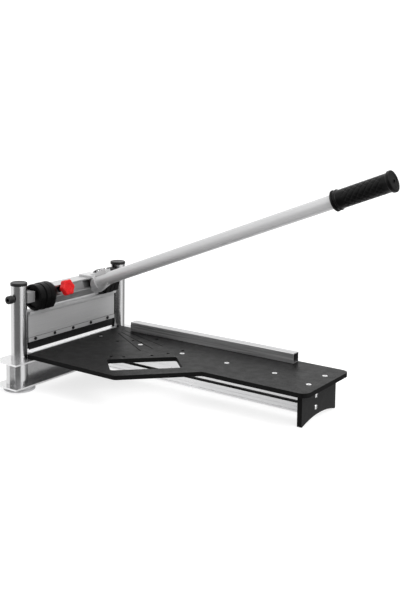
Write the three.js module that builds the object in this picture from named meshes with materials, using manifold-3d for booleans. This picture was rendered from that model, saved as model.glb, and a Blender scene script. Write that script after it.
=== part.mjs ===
// Lever guillotine for laminate and vinyl floor planks, 330 mm class.
// Millimetres. +X runs along the table away from the blade, +Y from the near post to the far
// post, +Z up. The origin is the centre of the near foot pad, on the surface it stands on.

import * as THREE from 'three';
import { mergeVertices } from 'three/addons/utils/BufferGeometryUtils.js';
import { ConvexGeometry } from 'three/addons/geometries/ConvexGeometry.js';
import Module from 'manifold-3d';

const wasm = await Module();
wasm.setup();

// ---------------------------------------------------------------- driving dimensions

const GAP = 0.3; // clearance between neighbouring pieces that touch
const DEG = Math.PI / 180;

// posts and feet
const POST_SPACING = 375;
const POST_R = 20;
const POST_BORE_R = 16;
const POST_TOP = 257;
const SLOT_WIDTH = 9;
const CAP_THICKNESS = 7;
const CAP_R = 20.6;
const FOOT_R = 39;
const FOOT_HEIGHT = 12;

// base profile, an I section along Y
const BASE_HALF_WIDTH = 40;
const BASE_OVERHANG = 50; // past each post axis
const BASE_TOP = 76.2;
const FLANGE = 4;
const WEB = 12;
const WEB_END = 38; // the web stops short of the flange ends

// table board
const TABLE_BOTTOM = 76.5;
const TABLE_TOP = 87;
const TABLE_START = 18; // edge beside the blade
const TABLE_END = 702;
const TABLE_FRONT = 8;
const TABLE_BACK = 370;
const TABLE_NARROW_FRONT = 154; // front edge of the narrow part
const CENTRE_Y = 249.5; // line of the support beam and the lever

// support beam and end plate
const BEAM_HALF_WIDTH = 20;
const BEAM_BOTTOM = 14.7;
const PLATE_X = 666;
const PLATE_THICKNESS = 12;
const PLATE_FRONT = 183;
const PLATE_BACK = 348.5;
const PLATE_ARCH_RISE = 11.5;

// fence
const FENCE_START = 76;
const FENCE_END = 570;
const FENCE_FRONT = 338.5;
const FENCE_DEPTH = 26;
const FENCE_HEIGHT = 24.4;
const FENCE_WALL = 2;

// carriage and blade
const CARRIAGE_INSET = 24; // from each post axis
const CARRIAGE_HALF = 7.5;
const CARRIAGE_BOTTOM = 111.3;
const CARRIAGE_TOP = 188.1;
const HEAD_BOTTOM = 181; // underside of the wide top rail
const CLAMP_TOP = 122.5;
const BLADE_BACK = 2.2;
const BLADE_THICKNESS = 2.5;
const BLADE_EDGE = 91.5;
const CLAMP_SCREW_PITCH = 68.7;
const CLAMP_SCREW_MIDDLE = 183.5;

// pivot, cams and lever
const PIVOT_Z = 226;
const PIVOT_R = 6;
const CAM_START = 37; // from the post axis
const CAM_END = 98;
const CAM_R = 31; // round upper part
const CAM_REACH = 37.5; // pivot to carriage at rest
const CAM_LEAD = 12; // carriage travel per radian of lever
const LEVER_ANGLE = 21.4 * DEG;
const LEVER_DOWN = 29 * DEG; // swing from rest down to the table
const LEVER_UP = 54 * DEG; // swing from rest up to the open stop
const TUBE_R = 16;
const TUBE_BORE_R = 13.5;
const TUBE_START = 34;
const TUBE_END = 895;
const TUBE_DROP = 9; // tube axis below the line through the pivot
const GRIP_START = 758;
const GRIP_END = 901;
const GRIP_R = 21;

// ---------------------------------------------------------------- materials

function finish(color, roughness, metalness) {
  return new THREE.MeshStandardMaterial({ color, roughness, metalness });
}

const ALUMINIUM = finish('#b9bcbf', 0.38, 0.9);
const BRIGHT = finish('#d4d6d8', 0.3, 0.9);
const STEEL = finish('#8f9296', 0.35, 1.0);
const BLADE_STEEL = finish('#3c3e41', 0.4, 0.9);
const BLACK_STEEL = finish('#1b1c1e', 0.5, 0.6);
const BOARD = finish('#26282a', 0.75, 0.0);
const PLATE_BLACK = finish('#303234', 0.6, 0.0);
const PLASTIC = finish('#161718', 0.45, 0.0);
const PAD = finish('#c9cbcc', 0.5, 0.0);
const RUBBER = finish('#121314', 0.9, 0.0);
const RED = finish('#d8232c', 0.4, 0.0);

// ---------------------------------------------------------------- solids and booleans

// Keeps positions only, shares equal vertices and turns the faces outward.
function closed(geometry) {
  geometry.deleteAttribute('normal');
  if (geometry.getAttribute('uv')) geometry.deleteAttribute('uv');
  const merged = mergeVertices(geometry, 1e-4);
  const index = [];
  const shared = merged.index.array;
  for (let i = 0; i < shared.length; i += 3) {
    const [a, b, c] = shared.slice(i, i + 3);
    if (a !== b && b !== c && c !== a) index.push(a, b, c);
  }
  if (signedVolume(merged.getAttribute('position'), index) < 0) index.reverse();
  merged.setIndex(index);
  return merged;
}

function signedVolume(position, index) {
  const corner = [new THREE.Vector3(), new THREE.Vector3(), new THREE.Vector3()];
  let sum = 0;
  for (let i = 0; i < index.length; i += 3) {
    corner.forEach((v, k) => v.fromBufferAttribute(position, index[i + k]));
    sum += corner[0].dot(corner[1].cross(corner[2]));
  }
  return sum;
}

function toManifold(geometry) {
  const merged = closed(geometry);
  const vertProperties = new Float32Array(merged.getAttribute('position').array);
  const triVerts = new Uint32Array(merged.index.array);
  return new wasm.Manifold(new wasm.Mesh({ numProp: 3, vertProperties, triVerts }));
}

function toGeometry(manifold) {
  const mesh = manifold.getMesh();
  const geometry = new THREE.BufferGeometry();
  geometry.setAttribute('position', new THREE.BufferAttribute(mesh.vertProperties, 3));
  geometry.setIndex(new THREE.BufferAttribute(mesh.triVerts, 1));
  return geometry;
}

function cut(body, ...tools) {
  return toGeometry(tools.reduce((rest, tool) => rest.subtract(toManifold(tool)), toManifold(body)));
}

function join(first, ...others) {
  return toGeometry(others.reduce((sum, other) => sum.add(toManifold(other)), toManifold(first)));
}

// ---------------------------------------------------------------- basic shapes

function box(x0, x1, y0, y1, z0, z1) {
  const geometry = new THREE.BoxGeometry(x1 - x0, y1 - y0, z1 - z0);
  return geometry.translate((x0 + x1) / 2, (y0 + y1) / 2, (z0 + z1) / 2);
}

// Turns a geometry made along Y so that it runs along the named axis.
function along(geometry, axis) {
  if (axis === 'x') geometry.rotateZ(-Math.PI / 2);
  if (axis === 'z') geometry.rotateX(Math.PI / 2);
  return geometry;
}

function rod(axis, radius, from, to, segments = 20) {
  const geometry = new THREE.CylinderGeometry(radius, radius, to - from, segments);
  return along(geometry.translate(0, (from + to) / 2, 0), axis);
}

// A turned piece from [radius, height] pairs that start and end on the axis or close.
function turned(axis, profile, segments = 20) {
  const points = profile.map(([r, h]) => new THREE.Vector2(r, h));
  return along(new THREE.LatheGeometry(points, segments), axis);
}

function outline(points) {
  return new THREE.Shape(points.map(([x, y]) => new THREE.Vector2(x, y)));
}

// Straight-sided outline whose corners [x, y, radius] are rounded by short curves.
function roundedOutline(corners) {
  const shape = new THREE.Shape();
  corners.forEach(([x, y, radius = 0], i) => {
    const here = new THREE.Vector2(x, y);
    const [px, py] = corners[(i + corners.length - 1) % corners.length];
    const [nx, ny] = corners[(i + 1) % corners.length];
    const toPrevious = new THREE.Vector2(px, py).sub(here).normalize();
    const toNext = new THREE.Vector2(nx, ny).sub(here).normalize();
    const setback = radius / Math.tan(toPrevious.angleTo(toNext) / 2);
    const start = here.clone().addScaledVector(toPrevious, setback);
    const end = here.clone().addScaledVector(toNext, setback);
    if (i === 0) shape.moveTo(start.x, start.y);
    else shape.lineTo(start.x, start.y);
    if (radius > 0) shape.quadraticCurveTo(x, y, end.x, end.y);
  });
  shape.closePath();
  return shape;
}

// Extrusions of a shape drawn in the XZ, YZ and XY plane.
function alongY(shape, y0, y1, curveSegments = 8) {
  const options = { depth: y1 - y0, bevelEnabled: false, curveSegments };
  const geometry = new THREE.ExtrudeGeometry(shape, options);
  return geometry.rotateX(Math.PI / 2).translate(0, y1, 0);
}

function alongX(shape, x0, x1, curveSegments = 8) {
  const options = { depth: x1 - x0, bevelEnabled: false, curveSegments };
  const geometry = new THREE.ExtrudeGeometry(shape, options);
  const basis = new THREE.Matrix4().makeBasis(
    new THREE.Vector3(0, 1, 0), new THREE.Vector3(0, 0, 1), new THREE.Vector3(1, 0, 0));
  return geometry.applyMatrix4(basis).translate(x0, 0, 0);
}

function alongZ(shape, z0, z1, curveSegments = 8) {
  const options = { depth: z1 - z0, bevelEnabled: false, curveSegments };
  return new THREE.ExtrudeGeometry(shape, options).translate(0, 0, z0);
}

// ---------------------------------------------------------------- scene graph

const cutter = new THREE.Group();

function piece(parent, name, geometry, material) {
  const mesh = new THREE.Mesh(closed(geometry), material);
  mesh.name = name;
  parent.add(mesh);
  return mesh;
}

// One group at each post. The far one is the mirror image of the near one.
function postSide(isFar) {
  const group = new THREE.Group();
  if (isFar) {
    group.position.y = POST_SPACING;
    group.scale.y = -1;
  }
  cutter.add(group);
  return group;
}

// ---------------------------------------------------------------- base

function baseProfile() {
  const webHalf = WEB / 2;
  const bottom = FOOT_HEIGHT + GAP;
  const section = outline([
    [-BASE_HALF_WIDTH, bottom], [BASE_HALF_WIDTH, bottom],
    [BASE_HALF_WIDTH, bottom + FLANGE], [webHalf, bottom + FLANGE],
    [webHalf, BASE_TOP - FLANGE], [BASE_HALF_WIDTH, BASE_TOP - FLANGE],
    [BASE_HALF_WIDTH, BASE_TOP], [-BASE_HALF_WIDTH, BASE_TOP],
    [-BASE_HALF_WIDTH, BASE_TOP - FLANGE], [-webHalf, BASE_TOP - FLANGE],
    [-webHalf, bottom + FLANGE], [-BASE_HALF_WIDTH, bottom + FLANGE],
  ]);
  const body = alongY(section, -BASE_OVERHANG, POST_SPACING + BASE_OVERHANG);
  const bore = (y) => rod('z', POST_R + GAP, 0, BASE_TOP + 10, 32).translate(0, y, 0);
  const relief = (y0, y1) => box(-WEB, WEB, y0, y1, bottom + FLANGE, BASE_TOP - FLANGE);
  const outer = BASE_OVERHANG + 5;
  return cut(body, bore(0), bore(POST_SPACING), relief(-outer, -WEB_END),
    relief(POST_SPACING + WEB_END, POST_SPACING + outer));
}

// Light strip beside the blade that the blade shears against.
function anvilBar() {
  return box(BLADE_BACK + BLADE_THICKNESS + 0.6, TABLE_START - 0.5,
    CARRIAGE_INSET, POST_SPACING - CARRIAGE_INSET, TABLE_BOTTOM, TABLE_TOP);
}

// ---------------------------------------------------------------- posts and feet

// Tube with a slot down the side that faces the other post.
function postTube() {
  const half = SLOT_WIDTH / 2;
  const outer = Math.asin(half / POST_R);
  const inner = Math.asin(half / POST_BORE_R);
  const quarter = Math.PI / 2;
  const shape = new THREE.Shape();
  shape.absarc(0, 0, POST_R, quarter + outer, quarter - outer + 2 * Math.PI, false);
  shape.absarc(0, 0, POST_BORE_R, quarter - inner + 2 * Math.PI, quarter + inner, true);
  shape.closePath();
  const tube = alongZ(shape, FOOT_HEIGHT + GAP, POST_TOP, 28);
  const pivotHole = rod('y', PIVOT_R + GAP, -30, 30).translate(0, 0, PIVOT_Z);
  return cut(tube, pivotHole);
}

function postCap() {
  const plug = POST_BORE_R - GAP;
  const base = POST_TOP + GAP;
  return turned('z', [
    [0, base - 7], [plug, base - 7], [plug, base], [CAP_R, base],
    [CAP_R, base + CAP_THICKNESS - 1.6], [CAP_R - 1.6, base + CAP_THICKNESS],
    [0, base + CAP_THICKNESS],
  ], 28);
}

function footPad() {
  return turned('z', [
    [0, 0], [FOOT_R - 1.5, 0], [FOOT_R, 1.6], [FOOT_R, 4], [FOOT_R - 3.5, 6.4],
    [FOOT_R - 4.5, FOOT_HEIGHT], [5.4, FOOT_HEIGHT], [5.4, 4], [0, 4],
  ], 32);
}

// Plug in the foot of the post; the return spring stands on it.
const PLUG_TOP = 20;

function postPlug() {
  const plug = POST_BORE_R - GAP;
  return turned('z', [[5.4, 13], [plug, 13], [plug, PLUG_TOP], [5.4, PLUG_TOP], [5.4, 13]]);
}

// Screw that goes down through the plug into the foot pad.
function footBolt() {
  const seat = PLUG_TOP + GAP;
  return turned('z', [[0, 4.5], [5, 4.5], [5, seat], [8, seat], [8, seat + 5], [0, seat + 5]]);
}

// ---------------------------------------------------------------- return springs

class Helix extends THREE.Curve {
  constructor(radius, z0, z1, turns) {
    super();
    Object.assign(this, { radius, z0, z1, turns });
  }

  getPoint(t, target = new THREE.Vector3()) {
    const angle = 2 * Math.PI * this.turns * t;
    const z = this.z0 + (this.z1 - this.z0) * t;
    return target.set(this.radius * Math.cos(angle), this.radius * Math.sin(angle), z);
  }
}

const SPRING_FOOT = PLUG_TOP + 2.2;
const SHOE_BOTTOM = 118;

function returnSpring() {
  const wire = 1.6;
  const turns = 8;
  const path = new Helix(12, SPRING_FOOT, SHOE_BOTTOM - GAP - wire - 0.2, turns);
  const section = new THREE.Shape();
  section.absarc(0, 0, wire, 0, 2 * Math.PI, false);
  const options = { extrudePath: path, steps: turns * 9, bevelEnabled: false, curveSegments: 3 };
  return new THREE.ExtrudeGeometry(section, options);
}

// Slider inside the post with a tongue that comes out through the slot.
function guideShoe() {
  const head = rod('z', POST_BORE_R - 0.6, SHOE_BOTTOM, SHOE_BOTTOM + 24, 28);
  const tongue = box(-SLOT_WIDTH / 2 + 0.6, SLOT_WIDTH / 2 - 0.6,
    0, CARRIAGE_INSET - GAP, 124, 134);
  return join(head, tongue);
}

// Plastic strip on the carriage's end that fills the gap to the post. Its foot covers the
// blade's end, and a window lets the shoe's tongue through.
function endGuide() {
  const inner = POST_R + 0.5;
  const strip = box(-7, 7, inner, CARRIAGE_INSET - GAP, CARRIAGE_BOTTOM - 1, HEAD_BOTTOM);
  const foot = box(-3, 4.6, inner, CARRIAGE_INSET + 3.6, 94.5, CARRIAGE_BOTTOM - GAP);
  const window = box(-SLOT_WIDTH / 2, SLOT_WIDTH / 2, 0, CARRIAGE_INSET, 123.5, 134.5);
  return cut(join(strip, foot), window);
}

// ---------------------------------------------------------------- pivots

// Saddle block between the post and the cam.
function pivotBlock() {
  const block = box(-19, 19, 11, CAM_START - 0.8, PIVOT_Z - 13, PIVOT_Z + 13);
  const postClear = rod('z', POST_R + GAP, PIVOT_Z - 20, PIVOT_Z + 20, 32);
  const boltHole = rod('y', PIVOT_R + GAP, 0, 40).translate(0, 0, PIVOT_Z);
  return cut(block, postClear, boltHole);
}

// Socket-head bolt through the post; the cam turns on its plain end.
function pivotBolt() {
  const bolt = turned('y', [
    [0, -30], [5, -30], [5, -37], [8.8, -37], [10, -35.8], [10, -24], [8.5, -24],
    [8.5, -20.5], [PIVOT_R, -20.5], [PIVOT_R, 70], [0, 70],
  ]);
  return bolt.translate(0, 0, PIVOT_Z);
}

// ---------------------------------------------------------------- table

function tableOutline() {
  const half = (TABLE_FRONT + TABLE_NARROW_FRONT) / 2;
  const slope = 296;
  return roundedOutline([
    [TABLE_START, TABLE_FRONT, 3],
    [slope, TABLE_FRONT - 2, 16],
    [slope + 0.95 * (TABLE_NARROW_FRONT - TABLE_FRONT), half + 73, 16],
    [TABLE_END, TABLE_NARROW_FRONT, 24],
    [TABLE_END, TABLE_BACK, 22],
    [TABLE_START, TABLE_BACK, 3],
  ]);
}

// Carry slot across the corner of the board.
const SLOT_CENTRE = [289, 124.5];
const SLOT_LENGTH = 169;
const SLOT_BREADTH = 88;
const SLOT_TURN = 45.5 * DEG;

function carrySlot() {
  const a = SLOT_LENGTH / 2;
  const b = SLOT_BREADTH / 2;
  const shape = roundedOutline([[-a, -b, 9], [a, -b, 9], [a, b, 9], [-a, b, 9]]);
  const tool = alongZ(shape, TABLE_BOTTOM - 5, TABLE_TOP + 5, 4);
  return tool.rotateZ(SLOT_TURN).translate(...SLOT_CENTRE, 0);
}

// Holes that take the fence pins for angled cuts, by radius and angle about one corner.
const MITRE_CORNER = [56, 334];
const MITRE_HOLES = [
  [250, 15], [250, 25], [252, 35], [254, 51], [250, 58],
  [126, 8], [129, 31], [108, 38], [111, 59],
];
const PIN_X = [122, 520];
const PIN_Y = FENCE_FRONT + FENCE_DEPTH / 2;
const PIN_R = 3.6;

function mitreHole([radius, angle]) {
  const x = MITRE_CORNER[0] + radius * Math.cos(angle * DEG);
  const y = MITRE_CORNER[1] - radius * Math.sin(angle * DEG);
  return rod('z', PIN_R + GAP, TABLE_BOTTOM - 5, TABLE_TOP + 5, 10).translate(x, y, 0);
}

// Engraved guide lines for the usual mitre angles: [start y, angle].
const GUIDE_LINES = [[304, 32.8], [317, 25.4], [334, 19.6]];
const GUIDE_DEPTH = 0.8;

function guideLine([y, angle]) {
  const line = box(0, 185, -0.8, 0.8, TABLE_TOP - GUIDE_DEPTH, TABLE_TOP + 5);
  return line.rotateZ(-angle * DEG).translate(60, y, 0);
}

const TABLE_SCREWS = [
  [47.5, CENTRE_Y], [179.5, CENTRE_Y], [310, CENTRE_Y], [440.5, CENTRE_Y], [571, CENTRE_Y],
  [PLATE_X + 6, 223], [PLATE_X + 6, 302],
];
const SCREW_HEAD_R = 6;
const SCREW_SHANK_R = 2.5;
const SINK_DEPTH = 3.5;

function screwSink([x, y]) {
  const tool = turned('z', [
    [0, TABLE_BOTTOM - 5], [SCREW_SHANK_R + GAP, TABLE_BOTTOM - 5],
    [SCREW_SHANK_R + GAP, TABLE_TOP - SINK_DEPTH - GAP], [SCREW_HEAD_R + GAP, TABLE_TOP],
    [SCREW_HEAD_R + GAP, TABLE_TOP + 5], [0, TABLE_TOP + 5],
  ], 12);
  return tool.translate(x, y, 0);
}

function tableScrew([x, y], isInPlate) {
  const tip = isInPlate ? TABLE_BOTTOM - 14 : TABLE_BOTTOM - 6;
  const screw = turned('z', [
    [0, tip], [SCREW_SHANK_R, tip], [SCREW_SHANK_R, TABLE_TOP - SINK_DEPTH],
    [SCREW_HEAD_R, TABLE_TOP - 0.1], [0, TABLE_TOP - 0.1],
  ], 12);
  return screw.translate(x, y, 0);
}

function tableBoard() {
  const board = alongZ(tableOutline(), TABLE_BOTTOM, TABLE_TOP, 6);
  const postClear = [0, POST_SPACING].map(
    (y) => rod('z', POST_R + 1, 60, 100, 32).translate(0, y, 0));
  const pinHoles = PIN_X.map(
    (x) => rod('z', PIN_R + GAP, 60, 100, 10).translate(x, PIN_Y, 0));
  return cut(board, carrySlot(), ...postClear, ...pinHoles, ...MITRE_HOLES.map(mitreHole),
    ...TABLE_SCREWS.map(screwSink), ...GUIDE_LINES.map(guideLine));
}

// ---------------------------------------------------------------- support beam, end plate

// Slotted extrusion: one slot on top for the table screws and one on each side.
function supportBeam() {
  const h = BEAM_HALF_WIDTH;
  const top = TABLE_BOTTOM - GAP;
  const low = BEAM_BOTTOM;
  const slot = 3.4;
  const grooveLow = 36;
  const grooveHigh = 43;
  const section = outline([
    [-h, low], [h, low], [h, grooveLow], [h - 7, grooveLow], [h - 7, grooveHigh],
    [h, grooveHigh], [h, top], [slot, top], [slot, top - 8], [-slot, top - 8], [-slot, top],
    [-h, top], [-h, grooveHigh], [-h + 7, grooveHigh], [-h + 7, grooveLow], [-h, grooveLow],
  ]);
  const chambers = [
    [[-h + 2, low + 2], [h - 2, low + 2], [h - 2, grooveLow - 2], [-h + 2, grooveLow - 2]],
    [[-h + 9, grooveLow + 1], [h - 9, grooveLow + 1], [h - 9, grooveHigh - 1],
      [-h + 9, grooveHigh - 1]],
    [[-h + 2, grooveHigh + 2], [h - 2, grooveHigh + 2], [h - 2, top - 11], [-h + 2, top - 11]],
  ];
  section.holes = chambers.map((corners) => outline(corners));
  const beam = alongX(section, BASE_HALF_WIDTH + 1, PLATE_X - GAP).translate(0, CENTRE_Y, 0);
  return beam;
}

// Block that ties the beam's end to the web of the base.
function beamBracket() {
  return box(WEB / 2 + GAP, BASE_HALF_WIDTH + 1 - GAP, CENTRE_Y - 18, CENTRE_Y + 18, 24, 66);
}

const PLATE_SCREW_Z = [30.2, 57];

function endPlate() {
  const middle = (PLATE_FRONT + PLATE_BACK) / 2;
  const foot = 4;
  const halfSpan = (PLATE_BACK - PLATE_FRONT) / 2 - foot;
  const archR = (halfSpan ** 2 + PLATE_ARCH_RISE ** 2) / (2 * PLATE_ARCH_RISE);
  const reach = Math.asin(halfSpan / archR);
  const shape = new THREE.Shape();
  shape.moveTo(PLATE_FRONT, TABLE_BOTTOM - GAP);
  shape.lineTo(PLATE_FRONT, 1);
  shape.lineTo(PLATE_FRONT + 1, 0);
  shape.lineTo(PLATE_FRONT + foot, 0);
  shape.absarc(middle, PLATE_ARCH_RISE - archR,
    archR, Math.PI / 2 + reach, Math.PI / 2 - reach, true);
  shape.lineTo(PLATE_BACK - 1, 0);
  shape.lineTo(PLATE_BACK, 1);
  shape.lineTo(PLATE_BACK, TABLE_BOTTOM - GAP);
  shape.closePath();
  const plate = alongX(shape, PLATE_X, PLATE_X + PLATE_THICKNESS, 14);
  const screwHoles = PLATE_SCREW_Z.map(
    (z) => rod('x', 3.3, PLATE_X - 5, PLATE_X + 20, 12).translate(0, CENTRE_Y - 1.5, z));
  const tableHoles = TABLE_SCREWS.slice(5).map(
    ([x, y]) => rod('z', SCREW_SHANK_R + GAP, TABLE_BOTTOM - 16, TABLE_BOTTOM + 5, 12)
      .translate(x, y, 0));
  return cut(plate, ...screwHoles, ...tableHoles);
}

// Button-head socket screw through the end plate.
function plateScrew(z) {
  const face = PLATE_X + PLATE_THICKNESS + 0.1;
  const screw = turned('x', [
    [0, PLATE_X + 1], [3, PLATE_X + 1], [3, face], [6, face], [6, face + 1],
    [4, face + 3], [2, face + 3], [2, face + 1.2], [0, face + 1.2],
  ], 14);
  return screw.translate(0, CENTRE_Y - 1.5, z);
}

// ---------------------------------------------------------------- fence

function fenceTube() {
  const z0 = TABLE_TOP + GAP;
  const z1 = z0 + FENCE_HEIGHT;
  const y1 = FENCE_FRONT + FENCE_DEPTH;
  const w = FENCE_WALL;
  const section = outline([[FENCE_FRONT, z0], [y1, z0], [y1, z1], [FENCE_FRONT, z1]]);
  section.holes = [outline([
    [FENCE_FRONT + w, z0 + w], [y1 - w, z0 + w], [y1 - w, z1 - w], [FENCE_FRONT + w, z1 - w]])];
  const tube = alongX(section, FENCE_START, FENCE_END);
  const pinHoles = PIN_X.map((x) => rod('z', 2.3, z0 - 5, z0 + 5, 12).translate(x, PIN_Y, 0));
  return cut(tube, ...pinHoles);
}

// Pin that drops into the board; its neck is held in the fence's lower wall.
function fencePin(x) {
  const wall = TABLE_TOP + GAP + FENCE_WALL;
  const pin = turned('z', [
    [0, TABLE_BOTTOM + 2], [PIN_R - 1, TABLE_BOTTOM + 2], [PIN_R, TABLE_BOTTOM + 3],
    [PIN_R, TABLE_TOP], [2, TABLE_TOP], [2, wall + 0.2], [PIN_R + 1, wall + 0.2],
    [PIN_R + 1, wall + 2.5], [0, wall + 2.5],
  ], 12);
  return pin.translate(x, PIN_Y, 0);
}

// ---------------------------------------------------------------- blade carriage

const CARRIAGE_Y0 = CARRIAGE_INSET;
const CARRIAGE_Y1 = POST_SPACING - CARRIAGE_INSET;

function bladeCarriage() {
  const h = CARRIAGE_HALF;
  const rail = 14;
  const section = outline([
    [-h, CARRIAGE_BOTTOM], [BLADE_BACK - GAP, CARRIAGE_BOTTOM],
    [BLADE_BACK - GAP, CLAMP_TOP + GAP], [h, CLAMP_TOP + GAP], [h, HEAD_BOTTOM],
    [rail, HEAD_BOTTOM + 1.5], [rail, CARRIAGE_TOP - 1], [rail - 1, CARRIAGE_TOP],
    [-rail + 1, CARRIAGE_TOP], [-rail, CARRIAGE_TOP - 1], [-rail, HEAD_BOTTOM + 1.5],
    [-h, HEAD_BOTTOM],
  ]);
  const chamber = (z0, z1) => outline([[-h + 3, z0], [h - 3, z0], [h - 3, z1], [-h + 3, z1]]);
  section.holes = [chamber(CLAMP_TOP + 6, 148), chamber(152, HEAD_BOTTOM - 2)];
  return alongY(section, CARRIAGE_Y0, CARRIAGE_Y1);
}

function blade() {
  const x1 = BLADE_BACK + BLADE_THICKNESS;
  const section = outline([
    [BLADE_BACK, BLADE_EDGE + 6], [x1 - 0.3, BLADE_EDGE], [x1, BLADE_EDGE],
    [x1, CLAMP_TOP], [BLADE_BACK, CLAMP_TOP],
  ]);
  const plate = alongY(section, CARRIAGE_Y0 + 4, CARRIAGE_Y1 - 4);
  return cut(plate, ...clampScrewPlaces().map((y) => clampHole(y, 2.9)));
}

function clampScrewPlaces() {
  return [-2, -1, 0, 1, 2].map((i) => CLAMP_SCREW_MIDDLE + i * CLAMP_SCREW_PITCH);
}

const CLAMP_SCREW_Z = 117.8;

function clampHole(y, radius) {
  return rod('x', radius, -30, 30, 12).translate(0, y, CLAMP_SCREW_Z);
}

// Strip that holds the blade against the carriage, with sunk screw heads.
function bladeClamp() {
  const x0 = BLADE_BACK + BLADE_THICKNESS + GAP;
  const section = outline([
    [x0, CARRIAGE_BOTTOM], [x0 + 3.4, CARRIAGE_BOTTOM], [x0 + 3.8, CARRIAGE_BOTTOM + 0.5],
    [x0 + 3.8, CLAMP_TOP - 0.5], [x0 + 3.4, CLAMP_TOP], [x0, CLAMP_TOP],
  ]);
  const strip = alongY(section, CARRIAGE_Y0, CARRIAGE_Y1);
  return cut(strip, ...clampScrewPlaces().map((y) => clampHole(y, 2.9)));
}

// Socket-head screw; its shank ends just short of the carriage wall.
function clampScrew(y) {
  const face = BLADE_BACK + BLADE_THICKNESS + GAP + 3.8 + 0.1;
  const screw = turned('x', [
    [0, BLADE_BACK + 0.1], [2.5, BLADE_BACK + 0.1], [2.5, face], [4, face], [4, face + 2.2],
    [3.4, face + 2.8], [1.8, face + 2.8], [1.8, face + 1], [0, face + 1],
  ], 12);
  return screw.translate(0, y, CLAMP_SCREW_Z);
}

// ---------------------------------------------------------------- lever head and cams

// Bottom of the cam: its reach grows in proportion to the lever's swing, so the contact
// stays at x = CAM_LEAD and the carriage follows at a constant ratio.
function camOutline() {
  const points = [];
  const margin = 2 * DEG;
  const steps = 16;
  const first = -Math.PI / 2 - LEVER_UP - margin;
  const last = -Math.PI / 2 + LEVER_DOWN + margin;
  for (let i = 0; i <= steps; i += 1) {
    const a = first + ((last - first) * i) / steps;
    const reach = CAM_REACH + CAM_LEAD * (a + Math.PI / 2);
    points.push([
      reach * Math.cos(a) - CAM_LEAD * Math.sin(a),
      reach * Math.sin(a) + CAM_LEAD * Math.cos(a),
    ]);
  }
  for (let i = 0; i < 40; i += 1) {
    const a = (2 * Math.PI * i) / 40;
    points.push([9 + CAM_R * Math.cos(a), -2 + CAM_R * Math.sin(a)]);
  }
  return points;
}

function camDrum() {
  const ring = (y, scale) => camOutline().map(
    ([x, z]) => new THREE.Vector3(x * scale, y, z * scale));
  const wide = new ConvexGeometry([...ring(CAM_START, 1), ...ring(CAM_END - 8, 1)]);
  const nose = new ConvexGeometry([...ring(CAM_END - 9, 0.94), ...ring(CAM_END, 0.86)]);
  const bore = rod('y', PIVOT_R + GAP, 0, 76);
  return cut(join(wide, nose), bore);
}

// Section of the beam that joins the two cams: a channel open to the front.
const BEAM_SECTION = [
  [-14, 18], [-14, -20], [-4, -31], [12, -31], [26, -12], [26, -8], [18.2, -8],
  [11.8, 13.8], [28, 13.8], [28, 18],
];
const BEAM_ENVELOPE = [[-14, 18], [-14, -20], [-4, -31], [12, -31], [28, -12], [28, 18]];

function leverBeam() {
  const length = [CAM_END + GAP, POST_SPACING - CAM_END - GAP];
  const hollow = outline([[-10, 14], [7.5, 14], [13.5, -8], [9, -27], [-3, -27], [-10, -18]]);
  const section = outline(BEAM_SECTION);
  section.holes = [hollow];
  const studHole = rod('x', STUD_R + 0.5, -8, 8, 16).rotateY(-KNOB_TILT);
  return cut(alongY(section, ...length), studHole.translate(...KNOB_SEAT));
}

// ---------------------------------------------------------------- clamp knob

// The knob's axis is square to the channel's sloping web. Its pieces run along local X
// from the web.
const KNOB_SEAT = [15, 126, 2.9];
const KNOB_TILT = Math.atan2(6.4, 21.8);
const STUD_R = 3.9;
const KNOB_R = 21;
const KNOB_LOBES = 6;

// Scalloped outline of the hand knob.
function knobOutline() {
  const steps = KNOB_LOBES * 8;
  const points = [];
  for (let i = 0; i < steps; i += 1) {
    const a = (2 * Math.PI * i) / steps;
    const r = KNOB_R - 1.7 + 1.7 * Math.cos(KNOB_LOBES * a);
    points.push([r * Math.cos(a), r * Math.sin(a)]);
  }
  return outline(points);
}

function clampKnob() {
  const boss = rod('x', 7.5, 17.2, 22);
  return join(alongX(knobOutline(), 21, 36), boss);
}

function knobStud() {
  return rod('x', STUD_R, -6, 16.9, 16);
}

function knobCollar() {
  const bore = STUD_R + 0.5;
  return turned('x', [[bore, 0.6], [7.5, 0.6], [7.5, 9], [6.5, 12], [bore, 12], [bore, 0.6]]);
}

// ---------------------------------------------------------------- lever arm

const SOCKET_R = 21;
const SOCKET_START = 18;
const SOCKET_END = 42;
const SHOE_LENGTH = 78; // how far the socket's cradle reaches along the tube
const LID_HEIGHT = 24;

// Collar round the tube's end, with a V cradle below it and a screwed lid above it.
function leverSocket() {
  const collar = rod('x', SOCKET_R, SOCKET_START, SOCKET_END, 28);
  const cradle = alongX(outline([[-15, -9], [15, -9], [3, -27], [-3, -27]]),
    SOCKET_START, SHOE_LENGTH);
  const gussetSlope = alongY(outline([[90, -30], [90, -7.5], [30, -30]]), -20, 20);
  const lid = box(SOCKET_START, SHOE_LENGTH, -9, 12, 10, LID_HEIGHT);
  const tubeClear = rod('x', TUBE_R + GAP, -5, 100, 28);
  const socket = cut(join(collar, cradle, lid), tubeClear, gussetSlope,
    ...SOCKET_SCREW_X.map((x) => rod('z', 2.8, 0, 40, 12).translate(x, 1.5, 0)));
  socket.translate(0, CENTRE_Y, -TUBE_DROP);
  const saddle = box(-12, 32, CENTRE_Y - 20, CENTRE_Y + 20, 17, 22.5).rotateY(LEVER_ANGLE);
  const beam = alongY(outline(BEAM_ENVELOPE), 0, POST_SPACING);
  beam.scale(1.02, 1, 1.02).rotateY(LEVER_ANGLE);
  const bore = rod('x', TUBE_R + GAP, TUBE_START - 2, 100, 28).translate(0, CENTRE_Y, -TUBE_DROP);
  const behind = box(-40, 16, 0, POST_SPACING, -60, 4);
  return cut(join(socket, saddle), beam, behind, bore);
}

const SOCKET_SCREW_X = [46, 59, 71];

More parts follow.
